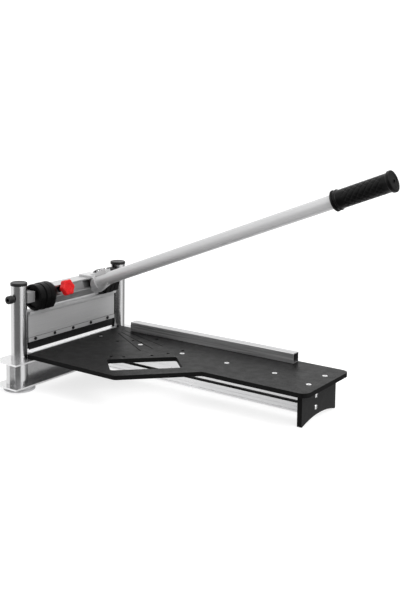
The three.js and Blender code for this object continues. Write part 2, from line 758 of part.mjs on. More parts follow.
function socketScrew(x) {
  const face = LID_HEIGHT - TUBE_DROP + 0.1;
  const tip = TUBE_R - TUBE_DROP + 0.4;
  const screw = turned('z', [
    [0, tip], [2.5, tip], [2.5, face], [4.5, face], [4.5, face + 4], [3.8, face + 4.6],
    [2.2, face + 4.6], [2.2, face + 2], [0, face + 2],
  ], 12);
  return screw.translate(x, CENTRE_Y + 1.5, 0);
}

function leverTube() {
  const tube = turned('x', [
    [TUBE_BORE_R, TUBE_START], [TUBE_R, TUBE_START], [TUBE_R, TUBE_END],
    [TUBE_BORE_R, TUBE_END], [TUBE_BORE_R, TUBE_START],
  ], 28);
  return tube.translate(0, CENTRE_Y, -TUBE_DROP);
}

function leverGrip() {
  const bore = TUBE_R + GAP;
  const flange = GRIP_R + 3;
  const grip = turned('x', [
    [bore, GRIP_START], [flange, GRIP_START], [flange, GRIP_START + 3],
    [GRIP_R, GRIP_START + 4], [GRIP_R, GRIP_START + 8], [flange - 0.5, GRIP_START + 9],
    [flange - 0.5, GRIP_START + 12], [GRIP_R, GRIP_START + 14],
    [GRIP_R, GRIP_END - 10], [flange, GRIP_END - 8], [flange, GRIP_END],
    [4, GRIP_END], [4, TUBE_END + GAP], [bore, TUBE_END + GAP], [bore, GRIP_START],
  ], 24);
  return grip.translate(0, CENTRE_Y, -TUBE_DROP);
}

// ---------------------------------------------------------------- assembly

for (const [side, isFar] of [['near', false], ['far', true]]) {
  const group = postSide(isFar);
  piece(group, `${side}_post`, postTube(), ALUMINIUM);
  piece(group, `${side}_post_cap`, postCap(), PLASTIC);
  piece(group, `${side}_foot_pad`, footPad(), PAD);
  piece(group, `${side}_foot_bolt`, footBolt(), STEEL);
  piece(group, `${side}_post_plug`, postPlug(), STEEL);
  piece(group, `${side}_return_spring`, returnSpring(), STEEL);
  piece(group, `${side}_guide_shoe`, guideShoe(), BRIGHT);
  piece(group, `${side}_end_guide`, endGuide(), PLASTIC);
  piece(group, `${side}_pivot_block`, pivotBlock(), ALUMINIUM);
  piece(group, `${side}_pivot_bolt`, pivotBolt(), BLACK_STEEL);
  piece(group, `${side}_cam`, camDrum().translate(0, 0, PIVOT_Z), PLASTIC);
}

piece(cutter, 'base_profile', baseProfile(), BRIGHT);
piece(cutter, 'anvil_bar', anvilBar(), BRIGHT);
piece(cutter, 'table_board', tableBoard(), BOARD);
piece(cutter, 'support_beam', supportBeam(), BRIGHT);
piece(cutter, 'beam_bracket', beamBracket(), ALUMINIUM);
piece(cutter, 'end_plate', endPlate(), PLATE_BLACK);
piece(cutter, 'fence', fenceTube(), ALUMINIUM);
PIN_X.forEach((x, i) => piece(cutter, `fence_pin_${i + 1}`, fencePin(x), STEEL));
TABLE_SCREWS.forEach((at, i) => piece(cutter, `table_screw_${i + 1}`, tableScrew(at, i > 4), STEEL));
PLATE_SCREW_Z.forEach((z, i) => piece(cutter, `end_plate_screw_${i + 1}`, plateScrew(z), STEEL));

piece(cutter, 'blade_carriage', bladeCarriage(), ALUMINIUM);
piece(cutter, 'blade', blade(), BLADE_STEEL);
piece(cutter, 'blade_clamp', bladeClamp(), ALUMINIUM);
clampScrewPlaces().forEach(
  (y, i) => piece(cutter, `clamp_screw_${i + 1}`, clampScrew(y), BLACK_STEEL));

const head = new THREE.Group();
head.position.z = PIVOT_Z;
cutter.add(head);
piece(head, 'lever_beam', leverBeam(), BRIGHT);

const screw = new THREE.Group();
screw.position.set(...KNOB_SEAT);
screw.rotation.y = -KNOB_TILT;
head.add(screw);
piece(screw, 'clamp_knob', clampKnob(), RED);
piece(screw, 'knob_stud', knobStud(), STEEL);
piece(screw, 'knob_collar', knobCollar(), PLASTIC);

const arm = new THREE.Group();
arm.position.z = PIVOT_Z;
arm.rotation.y = -LEVER_ANGLE;
cutter.add(arm);
piece(arm, 'lever_socket', leverSocket(), BRIGHT);
SOCKET_SCREW_X.forEach((x, i) => piece(arm, `socket_screw_${i + 1}`, socketScrew(x), BLACK_STEEL));
piece(arm, 'lever_tube', leverTube(), BRIGHT);
piece(arm, 'lever_grip', leverGrip(), RUBBER);

export default cutter;
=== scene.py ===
import math

import bmesh
import bpy
from mathutils import Matrix, Vector
from mathutils.geometry import convex_hull_2d


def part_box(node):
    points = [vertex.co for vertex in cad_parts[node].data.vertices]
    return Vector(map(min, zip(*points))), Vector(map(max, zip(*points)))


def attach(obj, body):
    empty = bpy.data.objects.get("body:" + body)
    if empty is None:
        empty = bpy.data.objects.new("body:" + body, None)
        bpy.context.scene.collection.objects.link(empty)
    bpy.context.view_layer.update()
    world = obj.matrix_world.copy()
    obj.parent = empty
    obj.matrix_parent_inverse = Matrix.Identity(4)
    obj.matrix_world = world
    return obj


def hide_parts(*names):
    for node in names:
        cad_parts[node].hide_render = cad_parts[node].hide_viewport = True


# Looks for the lever plank cutter. Lengths are in millimetres until a piece is settled.

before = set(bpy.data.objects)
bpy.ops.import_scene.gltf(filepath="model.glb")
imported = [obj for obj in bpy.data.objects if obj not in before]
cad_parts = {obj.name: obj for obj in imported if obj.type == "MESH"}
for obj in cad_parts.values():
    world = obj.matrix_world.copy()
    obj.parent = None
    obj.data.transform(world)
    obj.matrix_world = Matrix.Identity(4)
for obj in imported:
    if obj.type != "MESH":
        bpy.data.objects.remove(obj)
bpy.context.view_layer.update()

MM = 0.001
TURN = 2 * math.pi
IDENTITY = Matrix.Identity(4)


def span(node):
    lo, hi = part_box(node)
    return lo / MM, hi / MM


def middle(node):
    lo, hi = span(node)
    return (lo + hi) / 2


# Places that the CAD frame gives
POST_R = (span("near_post")[1].x - span("near_post")[0].x) / 2
SPACING = middle("far_post").y
PIVOT_Z = middle("near_pivot_bolt").z
CENTRE_Y = middle("lever_tube").y
TABLE_LOW, TABLE_TOP = span("table_board")[0].z, span("table_board")[1].z
LEVER_ANGLE = math.radians(21.4)
TUBE_DROP = 9
KNOB_TILT = math.atan2(6.4, 21.8)

SIDES = {
    "near": IDENTITY,
    "far": Matrix.Translation((0, SPACING, 0)) @ Matrix.Scale(-1, 4, Vector((0, 1, 0))),
}
ARM = Matrix.Translation((0, 0, PIVOT_Z * MM)) @ Matrix.Rotation(-LEVER_ANGLE, 4, "Y")
TUBE_AXIS = Matrix.Translation((0, CENTRE_Y, -TUBE_DROP))
KNOB_AXIS = Matrix.Translation((15, 126, PIVOT_Z + 2.9)) @ Matrix.Rotation(-KNOB_TILT, 4, "Y")


# ---------------------------------------------------------------- outlines

def circle(x, y, radius, count=24):
    return [(x + radius * math.cos(TURN * i / count), y + radius * math.sin(TURN * i / count))
            for i in range(count)]


def rounded(corners, steps=8):
    """Closed outline whose corners (x, y, radius) are rounded."""
    points = []
    for i, (x, y, radius) in enumerate(corners):
        here = Vector((x, y))
        before = Vector(corners[i - 1][:2]) - here
        after = Vector(corners[(i + 1) % len(corners)][:2]) - here
        if radius == 0:
            points.append((x, y))
            continue
        setback = radius / math.tan(before.angle(after) / 2)
        a, b = here + before.normalized() * setback, here + after.normalized() * setback
        for k in range(steps + 1):
            t = k / steps
            p = a * (1 - t) ** 2 + here * 2 * t * (1 - t) + b * t * t
            points.append((p.x, p.y))
    return points


def soft(points, radius):
    """Outline with the same small radius on every corner."""
    return rounded([(x, y, radius) for x, y in points], 3)


def hexagon(apothem):
    return lambda a: apothem / math.cos(a % (TURN / 6) - TURN / 12)


def star(radius, depth, lobes):
    return lambda a: radius + depth * math.cos(lobes * a)


# ---------------------------------------------------------------- solids

PLANES = {
    "x": Matrix(((0, 0, 1, 0), (1, 0, 0, 0), (0, 1, 0, 0), (0, 0, 0, 1))),
    "y": Matrix(((1, 0, 0, 0), (0, 0, -1, 0), (0, 1, 0, 0), (0, 0, 0, 1))),
    "z": IDENTITY,
}


def new_object(name, mesh):
    piece = bpy.data.objects.new(name, mesh)
    bpy.context.scene.collection.objects.link(piece)
    return piece


def evaluated(piece):
    graph = bpy.context.evaluated_depsgraph_get()
    graph.update()
    return bpy.data.meshes.new_from_object(piece.evaluated_get(graph))


def apply_modifiers(piece):
    mesh = evaluated(piece)
    piece.modifiers.clear()
    piece.data = mesh


def weld(mesh, distance=0.002):
    bm = bmesh.new()
    bm.from_mesh(mesh)
    bmesh.ops.remove_doubles(bm, verts=bm.verts, dist=distance)
    bmesh.ops.recalc_face_normals(bm, faces=bm.faces)
    bm.to_mesh(mesh)
    bm.free()


def extruded(name, axis, lo, hi, outline, holes=(), bevel=0.4):
    """Section drawn across an axis and pushed from lo to hi, with rounded rims."""
    curve = bpy.data.curves.new(name, "CURVE")
    curve.dimensions = "2D"
    curve.fill_mode = "BOTH"
    for points in (outline, *holes):
        spline = curve.splines.new("POLY")
        spline.points.add(len(points) - 1)
        for point, (u, v) in zip(spline.points, points):
            point.co = (u, v, 0, 1)
        spline.use_cyclic_u = True
    curve.extrude = (hi - lo) / 2 - bevel
    curve.bevel_depth = bevel
    curve.bevel_resolution = 1
    curve.offset = -bevel
    source = new_object(name + "_section", curve)
    mesh = evaluated(source)
    bpy.data.objects.remove(source)
    shift = Vector((0, 0, 0))
    shift["xyz".index(axis)] = (lo + hi) / 2
    mesh.transform(Matrix.Translation(shift) @ PLANES[axis])
    weld(mesh)
    return new_object(name, mesh)


def lofted(name, axis, sections, segments=64, is_ring=False):
    """Rings along an axis. A section is (height, radius); a radius may depend on the angle."""
    points, faces = [], []
    for height, radius in sections:
        for i in range(segments):
            a = TURN * i / segments
            r = radius(a) if callable(radius) else radius
            u, v = r * math.cos(a), r * math.sin(a)
            points.append({"x": (height, u, v), "y": (u, height, v), "z": (u, v, height)}[axis])
    count = len(sections)
    for j in range(count if is_ring else count - 1):
        low, high = j * segments, (j + 1) % count * segments
        for i in range(segments):
            k = (i + 1) % segments
            faces.append((low + i, low + k, high + k, high + i))
    if not is_ring:
        faces.append(tuple(range(segments)))
        faces.append(tuple(range((count - 1) * segments, count * segments)))
    mesh = bpy.data.meshes.new(name)
    mesh.from_pydata(points, [], faces)
    weld(mesh)
    return new_object(name, mesh)


def refined(name, node, bevel):
    """Copy of a CAD node with flat faces made whole and rounded edges."""
    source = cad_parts[node].data
    mesh = bpy.data.meshes.new(name)
    mesh.from_pydata([v.co / MM for v in source.vertices], [],
                     [tuple(p.vertices) for p in source.polygons])
    bm = bmesh.new()
    bm.from_mesh(mesh)
    bmesh.ops.remove_doubles(bm, verts=bm.verts, dist=0.002)
    bmesh.ops.dissolve_limit(bm, angle_limit=math.radians(1), verts=bm.verts, edges=bm.edges)
    bm.to_mesh(mesh)
    bm.free()
    piece = new_object(name, mesh)
    modifier = piece.modifiers.new("bevel", "BEVEL")
    modifier.width = bevel
    modifier.segments = 2
    modifier.limit_method = "ANGLE"
    modifier.angle_limit = math.radians(35)
    apply_modifiers(piece)
    return piece


def carve(piece, tools):
    """Cuts the tools out of a piece and removes them."""
    for tool in tools:
        modifier = piece.modifiers.new("cut", "BOOLEAN")
        modifier.operation = "DIFFERENCE"
        modifier.solver = "EXACT"
        modifier.object = tool
    apply_modifiers(piece)
    for tool in tools:
        bpy.data.objects.remove(tool)


def paint_faces(piece, material, chosen):
    """Second material on the faces whose centre (mm) and normal pass a test."""
    piece.data.materials.append(material)
    for face in piece.data.polygons:
        if chosen(face.center / MM, face.normal):
            face.material_index = 1


def settle(piece, body, slot, material, *nodes, place=IDENTITY, world=IDENTITY, sharp=35):
    """Puts a finished piece in the frame: units, shading, material and body."""
    mesh = piece.data
    mesh.transform(Matrix.Scale(MM, 4) @ place)
    weld(mesh, 1e-6)
    mesh.shade_smooth()
    mesh.set_sharp_from_angle(angle=math.radians(sharp))
    normals = piece.modifiers.new("normals", "WEIGHTED_NORMAL")
    normals.keep_sharp = True
    apply_modifiers(piece)
    piece.data.materials.clear()
    piece.data.materials.append(material)
    piece.matrix_world = world
    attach(piece, body)
    if nodes:
        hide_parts(*nodes)
    return piece


# ---------------------------------------------------------------- materials

def shader(name, roughness, metallic=0.0, specular=0.5):
    material = bpy.data.materials.new(name)
    material.use_nodes = True
    principled = material.node_tree.nodes["Principled BSDF"]
    principled.inputs["Roughness"].default_value = roughness
    principled.inputs["Metallic"].default_value = metallic
    principled.inputs["Specular IOR Level"].default_value = specular
    return material, material.node_tree, principled


def pattern(tree, scale, detail=3.0, kind="ShaderNodeTexNoise"):
    """Noise in the piece's own coordinates; scale is grains per metre on each axis."""
    place = tree.nodes.new("ShaderNodeTexCoord")
    mapping = tree.nodes.new("ShaderNodeMapping")
    mapping.inputs["Scale"].default_value = scale
    texture = tree.nodes.new(kind)
    texture.inputs["Scale"].default_value = 1.0
    texture.inputs["Detail"].default_value = detail
    tree.links.new(place.outputs["Object"], mapping.inputs["Vector"])
    tree.links.new(mapping.outputs["Vector"], texture.inputs["Vector"])
    return texture


def spread(tree, texture, low, high, start=0.3, end=0.7, output=0):
    node = tree.nodes.new("ShaderNodeMapRange")
    node.inputs["From Min"].default_value = start
    node.inputs["From Max"].default_value = end
    node.inputs["To Min"].default_value = low
    node.inputs["To Max"].default_value = high
    tree.links.new(texture.outputs[output], node.inputs["Value"])
    return node


def tint(tree, principled, texture, dark, light, start=0.35, end=0.65):
    ramp = tree.nodes.new("ShaderNodeValToRGB")
    ramp.color_ramp.elements[0].position = start
    ramp.color_ramp.elements[1].position = end
    ramp.color_ramp.elements[0].color = (*dark, 1)
    ramp.color_ramp.elements[1].color = (*light, 1)
    tree.links.new(texture.outputs[0], ramp.inputs["Fac"])
    tree.links.new(ramp.outputs["Color"], principled.inputs["Base Color"])


def relief(tree, principled, texture, strength, distance):
    bump = tree.nodes.new("ShaderNodeBump")
    bump.inputs["Strength"].default_value = strength
    bump.inputs["Distance"].default_value = distance
    tree.links.new(texture.outputs[0], bump.inputs["Height"])
    tree.links.new(bump.outputs["Normal"], principled.inputs["Normal"])


def grain_scale(axis, lines_per_m):
    """Long thin grains along an axis, or even ones for no axis."""
    return tuple(6 if axis == letter else lines_per_m for letter in "xyz")


def metal(name, grey, roughness, grain, metallic=0.85, contrast=0.06, depth=0.25,
          lines_per_m=2500):
    """Metal with drawing or grinding lines along one axis and faint cloudy stains."""
    material, tree, principled = shader(name, roughness, metallic)
    lines = pattern(tree, grain_scale(grain, lines_per_m), 4)
    low, high = grey * (1 - contrast), min(1.0, grey * (1 + contrast))
    tint(tree, principled, lines, (low, low, low * 1.01), (high, high, high * 1.005))
    clouds = pattern(tree, (38, 38, 38), 5)
    value = spread(tree, clouds, roughness - 0.03, roughness + 0.03)
    tree.links.new(value.outputs[0], principled.inputs["Roughness"])
    relief(tree, principled, lines, depth, 0.00003)
    return material


def moulded(name, dark, light, roughness, size, strength, distance=0.0002, specular=0.5):
    """Plastic, rubber or coating with a fine moulded grain and uneven gloss."""
    material, tree, principled = shader(name, roughness, 0.0, specular)
    grain = pattern(tree, (size, size, size), 4)
    tint(tree, principled, grain, dark, light)
    clouds = pattern(tree, (45, 45, 45), 4)
    value = spread(tree, clouds, roughness - 0.05, roughness + 0.05)
    tree.links.new(value.outputs[0], principled.inputs["Roughness"])
    relief(tree, principled, grain, strength, distance)
    return material


def grey(value):
    return (value, value, value * 1.02)


POST_METAL = metal("post_aluminium", 0.66, 0.24, "z", 1.0, 0.03, 0.08)
RAIL_METAL = metal("carriage_aluminium", 0.52, 0.5, "y", 0.55, 0.06, 0.15)
BASE_METAL = metal("base_aluminium", 0.66, 0.24, "y", 0.9, 0.03, 0.06)
# Lighter aluminium: the shear strip's own metal, and also the painted highlight on the base extrusion's
# outer edges.
STRIP_AND_EDGE_HIGHLIGHT_METAL = metal("strip_and_edge_highlight_aluminium", 0.85, 0.3, "y", 0.7, 0.03, 0.1)
BEAM_METAL = metal("beam_aluminium", 0.9, 0.3, "x", 0.8, 0.05, 0.08)
# Dark copy of aluminium: painted shade inside the post bores, the beam's T-groove, the fence tube and
# along the blade clamp's top.
SLOT_SHADE_METAL = metal("slot_shade_aluminium", 0.14, 0.5, "x", 0.6, 0.1, 0.1)
HEAD_METAL = metal("head_aluminium", 0.5, 0.3, "y", 0.9, 0.04, 0.1)
FENCE_METAL = metal("fence_aluminium", 0.48, 0.32, "x", 0.75, 0.28, 0.4, 330)
TUBE_METAL = metal("tube_aluminium", 0.5, 0.4, "x", 0.4, 0.02, 0.06)
CAST_METAL = metal("socket_aluminium", 0.62, 0.42, "none", 0.75, 0.04, 0.15)
BLOCK_METAL = metal("block_aluminium", 0.36, 0.48, "none", 0.7, 0.06, 0.2)
STEEL = metal("zinc_steel", 0.85, 0.25, "none", 1.0, 0.04, 0.1)
BLADE_STEEL = metal("ground_steel", 0.02, 0.35, "z", 0.6, 0.3, 0.3)
# Black oxide steel, and also the painted shade inside the hex sockets of the bright screws.
BLACK_STEEL_AND_RECESS_SHADE = metal("blacked_steel_and_recess_shade", 0.006, 0.38, "none", 0.2, 0.2, 0.2)
BOARD = moulded("pebbled_board", grey(0.001), grey(0.008), 0.42, 340, 0.9, 0.0006, 0.12)
BOARD_EDGE = moulded("board_edge_band", grey(0.003), grey(0.006), 0.6, 900, 0.3, 0.0002, 0.08)
PLATE = moulded("painted_plate", grey(0.008), grey(0.018), 0.5, 900, 0.4, 0.0002, 0.2)
PLASTIC = moulded("black_plastic", grey(0.002), grey(0.004), 0.34, 600, 0.3, 0.0002, 0.12)
CAP_PLASTIC = moulded("cap_plastic", grey(0.008), grey(0.014), 0.4, 600, 0.3, 0.0002, 0.25)
PAD = moulded("pad_polymer", grey(0.5), grey(0.58), 0.4, 300, 0.2)
RUBBER = moulded("grip_rubber", grey(0.0006), grey(0.002), 0.34, 1100, 0.4, 0.0002, 0.16)
RED = moulded("red_plastic", (0.5, 0.004, 0.006), (0.66, 0.01, 0.011), 0.42, 500, 0.3, 0.0002,
              0.25)
# Dark matte strips: painted shade in the bottoms of the guide-line grooves.
GROOVE_SHADE = moulded("painted_groove_shade", grey(0.001), grey(0.003), 0.8, 500, 0.2, 0.0001, 0.05)

KEPT = {
    "foot_bolt": STEEL, "post_plug": BLOCK_METAL, "return_spring": STEEL,
}
for side in SIDES:
    for part, material in KEPT.items():
        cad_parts[f"{side}_{part}"].data.materials.clear()
        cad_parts[f"{side}_{part}"].data.materials.append(material)


# ---------------------------------------------------------------- posts and feet

POST_BORE_R, POST_SLOT_HALF = 16, 4.5


def post(side):
    lo, hi = span("near_post")
    points = []
    for radius, count, is_back in ((POST_R, 72, False), (POST_BORE_R, 60, True)):
        gap = math.asin(POST_SLOT_HALF / radius)
        start, sweep = TURN / 4 + gap, TURN - 2 * gap
        arc = [start + sweep * i / count for i in range(count + 1)]
        points += [(radius * math.cos(a), radius * math.sin(a))
                   for a in (reversed(arc) if is_back else arc)]
    piece = extruded(f"{side}_post_tube", "z", lo.z, hi.z, points, bevel=0.35)
    settle(piece, "base", "aluminium", POST_METAL, f"{side}_post", place=SIDES[side])
    centre_y = middle(f"{side}_post").y
    # Painted shade: the bore and slot walls take the dark slot shade material.
    paint_faces(piece, SLOT_SHADE_METAL,
                lambda at, normal: math.hypot(at.x, at.y - centre_y) < POST_R - 0.6
                and abs(normal.z) < 0.5)


def post_cap(side):
    lo, hi = span("near_post_cap")
    r, top = hi.x, hi.z
    base = top - 7
    piece = lofted(f"{side}_post_cap_moulded", "z", [
        (lo.z, 0), (lo.z, 14.5), (lo.z + 1, 15.6), (base, 15.6), (base, r - 0.6),
        (base + 0.6, r), (top - 1.8, r), (top - 0.6, r - 0.5), (top, r - 1.6),
        (top, r - 2.6), (top - 0.7, r - 3.2), (top - 0.9, 6), (top - 0.8, 0),
    ], 72)
    settle(piece, "base", "black_plastic", CAP_PLASTIC, f"{side}_post_cap", place=SIDES[side])


def foot_pad(side):
    lo, hi = span("near_foot_pad")
    r, top = hi.x, hi.z
    piece = lofted(f"{side}_foot_disc", "z", [
        (0, 0), (0, r - 2), (0.5, r - 0.9), (1.6, r), (3.6, r), (4.4, r - 0.5), (4.8, r - 1.4),
        (6.0, r - 3.6), (6.6, r - 4.2), (top - 0.6, r - 4.5), (top, r - 5.2), (top, 5.4),
        (4, 5.4), (4, 0),
    ], 96)
    settle(piece, "base", "grey_pad", PAD, f"{side}_foot_pad", place=SIDES[side])


def pivot_block(side):
    piece = refined(f"{side}_pivot_saddle", f"{side}_pivot_block", 0.9)
    settle(piece, "base", "aluminium", BLOCK_METAL, f"{side}_pivot_block")


def pivot_bolt(side):
    knurl = star(9.85, 0.15, 36)
    piece = lofted(f"{side}_pivot_cap_screw", "y", [
        (-30.5, 0), (-30.5, hexagon(4)), (-36.6, hexagon(4)), (-37, hexagon(4.4)), (-37, 8.6),
        (-36.4, 9.4), (-35.6, knurl), (-25, knurl), (-24, 9.4), (-24, 8.5), (-20.5, 8.5),
        (-20.5, 6), (69, 6), (70, 5), (70, 0),
    ], 144)
    settle(piece, "base", "black_steel", BLACK_STEEL_AND_RECESS_SHADE, f"{side}_pivot_bolt",
           place=SIDES[side] @ Matrix.Translation((0, 0, PIVOT_Z)))


def guide_shoe(side):
    piece = refined(f"{side}_slider", f"{side}_guide_shoe", 0.5)
    settle(piece, "carriage", "bright_aluminium", BLOCK_METAL, f"{side}_guide_shoe")
    piece = refined(f"{side}_end_strip", f"{side}_end_guide", 0.4)
    settle(piece, "carriage", "black_plastic", PLASTIC, f"{side}_end_guide")


# ---------------------------------------------------------------- cams

def cam_reach():
    """Distance from the pivot to the cam's outline by angle."""
    points = []
    first, last = -TURN / 4 - math.radians(56), -TURN / 4 + math.radians(31)
    for i in range(41):
        a = first + (last - first) * i / 40
        reach, lead = 37.5 + 12 * (a + TURN / 4), 12
        points.append((reach * math.cos(a) - lead * math.sin(a),
                       reach * math.sin(a) + lead * math.cos(a)))
    points += circle(9, -2, 31, 96)
    hull = [Vector(points[i]) for i in convex_hull_2d(points)]

    def reach(a):
        ray = Vector((math.cos(a), math.sin(a)))
        best = 0
        for p, q in zip(hull, hull[1:] + hull[:1]):
            edge = q - p
            bottom = ray.x * edge.y - ray.y * edge.x
            if abs(bottom) < 1e-9:
                continue
            along = (p.x * edge.y - p.y * edge.x) / bottom
            share = (p.x * ray.y - p.y * ray.x) / bottom
            if along > 0 and -1e-6 <= share <= 1 + 1e-6:
                best = max(best, along)
        return best

    return reach


def cam(side, reach):
    def scaled(share):
        return lambda a: reach(a) * share

    piece = lofted(f"{side}_cam_drum", "y", [
        (37.0, scaled(0.93)), (38.2, scaled(0.97)), (54, scaled(0.97)), (55, scaled(0.93)),
        (57.5, scaled(0.93)), (58.5, scaled(1.0)), (71, scaled(1.0)), (71.8, scaled(0.975)),
        (73.6, scaled(0.975)), (74.4, scaled(1.0)), (86.5, scaled(1.0)), (88.5, scaled(0.985)),
        (89.4, scaled(0.93)), (92, scaled(0.92)), (96.6, scaled(0.87)), (98, scaled(0.84)),
        (98, 6.3), (43, 6.3), (39, 6.3), (38, 7), (38, 12), (43, 12.8), (43, scaled(0.74)),
        (38, scaled(0.78)), (37, scaled(0.8)),
    ], 120, is_ring=True)
    settle(piece, "lever", "black_plastic", PLASTIC, f"{side}_cam",
           place=SIDES[side] @ Matrix.Translation((0, 0, PIVOT_Z)), sharp=28)


# ---------------------------------------------------------------- base

def base_parts():
    piece = refined("base_extrusion", "base_profile", 0.5)
    settle(piece, "base", "bright_aluminium", BASE_METAL, "base_profile")
    lo, hi = span("base_profile")
    # Painted highlight: the outer edge faces of the flanges take the lighter strip metal.
    paint_faces(piece, STRIP_AND_EDGE_HIGHLIGHT_METAL, lambda at, normal: abs(normal.z) < 0.8
                and (at.x > hi.x - 1 or at.x < lo.x + 1 or at.y > hi.y - 1 or at.y < lo.y + 1))
    piece = refined("shear_strip", "anvil_bar", 0.5)
    settle(piece, "base", "bright_aluminium", STRIP_AND_EDGE_HIGHLIGHT_METAL, "anvil_bar")
    # Painted shade: the strip's +X face takes the darker base metal.
    paint_faces(piece, BASE_METAL, lambda at, normal: normal.x > 0.8)
    piece = refined("beam_tie_block", "beam_bracket", 1.0)
    settle(piece, "base", "aluminium", BLOCK_METAL, "beam_bracket")


# ---------------------------------------------------------------- table

MITRE_CORNER = (56, 334)
PIN_HOLE_R, SCREW_HOLE_R = 3.9, 6.3
GROOVE_START, GROOVE_LENGTH, GROOVE_DEPTH = 60, 185, 0.8
MITRE_HOLES = [
    (250, 15), (250, 25), (252, 35), (254, 51), (250, 58), (126, 8), (129, 31), (108, 38), (111, 59),
]
GUIDE_LINES = [(304, -32.8), (317, -25.4), (334, -19.6)]


def guide_line(name, inset, half_width, corner, low, high):
    """Bars with the place and direction of the mitre grooves."""
    bars = []
    for number, (y, angle) in enumerate(GUIDE_LINES, 1):
        bar = soft([(inset, -half_width), (GROOVE_LENGTH - inset, -half_width),
                    (GROOVE_LENGTH - inset, half_width), (inset, half_width)], corner)
        piece = extruded(f"{name}_{number}", "z", low, high, bar, bevel=0.1)
        piece.data.transform(Matrix.Translation((GROOVE_START, y, 0))
                             @ Matrix.Rotation(math.radians(angle), 4, "Z"))
        bars.append(piece)
    return bars


def table_board():
    outline = rounded([
        (18, 8, 3), (296, 6, 16), (434.7, 154, 16), (702, 154, 24), (702, 370, 22), (18, 370, 3),
    ], 14)
    turn, centre = Matrix.Rotation(math.radians(45.5), 2), Vector((289, 124.5))
    slot = [tuple(turn @ Vector(p) + centre) for p in rounded(
        [(-84.5, -44, 9), (84.5, -44, 9), (84.5, 44, 9), (-84.5, 44, 9)], 8)]
    holes = [slot]
    for radius, angle in MITRE_HOLES:
        a = math.radians(angle)
        holes.append(circle(MITRE_CORNER[0] + radius * math.cos(a),
                            MITRE_CORNER[1] - radius * math.sin(a), PIN_HOLE_R))
    holes += [circle(middle(f"fence_pin_{i}").x, middle(f"fence_pin_{i}").y, PIN_HOLE_R)
              for i in (1, 2)]
    holes += [circle(middle(f"table_screw_{i}").x, middle(f"table_screw_{i}").y, SCREW_HOLE_R)
              for i in range(1, 8)]
    piece = extruded("pin_board", "z", TABLE_LOW, TABLE_TOP, outline, holes, bevel=0.7)
    tools = [lofted("post_clearance", "z", [(60, POST_R + 1), (100, POST_R + 1)], 72)
             for _ in SIDES]
    tools[1].data.transform(Matrix.Translation((0, SPACING, 0)))
    groove_bottom = TABLE_TOP - GROOVE_DEPTH
    tools += guide_line("guide_line_cutter", 0, 1.3, 0.6, groove_bottom, TABLE_TOP + 3)
    carve(piece, tools)
    settle(piece, "base", "black_board", BOARD, "table_board")
    paint_faces(piece, BOARD_EDGE, lambda at, normal: abs(normal.z) < 0.6)
    # Painted shade: thin dark matte strips lie in the bottoms of the cut guide lines.
    for piece in guide_line("guide_line_shade", 0.1, 1.2, 0.5, groove_bottom, groove_bottom + 0.7):
        settle(piece, "base", "black_board", GROOVE_SHADE)


def table_screw(number):
    at = middle(f"table_screw_{number}")
    lo, _ = span(f"table_screw_{number}")
    top = TABLE_TOP - 0.1
    recess = star(1.9, 0.5, 6)
    piece = lofted(f"table_countersunk_{number}", "z", [
        (lo.z, 0), (lo.z, 1.8), (lo.z + 1, 2.5), (top - 3.4, 2.5), (top - 0.5, 5.8), (top, 6.0),
        (top, recess), (top - 2, recess), (top - 2, 0),
    ], 48)
    settle(piece, "base", "steel", STEEL, f"table_screw_{number}",
           place=Matrix.Translation((at.x, at.y, 0)))


def support_beam():
    lo, hi = span("support_beam")
    h, low, top, lip, depth = 20, lo.z, hi.z, 1.6, 9
    groove_low, groove_high = 36, 43
    notch_low, notch_high = 18.6, 21.6
    half = [
        (h, low), (h, notch_low), (h - lip, notch_low + 0.6), (h - lip, notch_high - 0.6),
        (h, notch_high), (h, 27.6), (h - 0.5, 28),
        (h, 28.4), (h, groove_low), (h - lip, groove_low), (h - lip, groove_low - 2),
        (h - depth, groove_low - 2), (h - depth, groove_high + 2), (h - lip, groove_high + 2),
        (h - lip, groove_high), (h, groove_high), (h, 56), (h - 0.6, 56.4), (h, 56.8), (h, top),
        (3.4, top), (3.4, top - 8),
    ]
    outline = half + [(-u, v) for u, v in reversed(half)]
    piece = extruded("board_rail", "x", lo.x, hi.x,
                     [(u + CENTRE_Y, v) for u, v in outline], bevel=0.2)
    settle(piece, "base", "bright_aluminium", BEAM_METAL, "support_beam")

    # Painted shade: the faces in and around the T-groove take the dark slot shade material.
    def in_shaded_groove(at, normal):
        return groove_low - 3 < at.z < groove_high + 3 and abs(at.y - CENTRE_Y) < h - 0.3

    paint_faces(piece, SLOT_SHADE_METAL, in_shaded_groove)


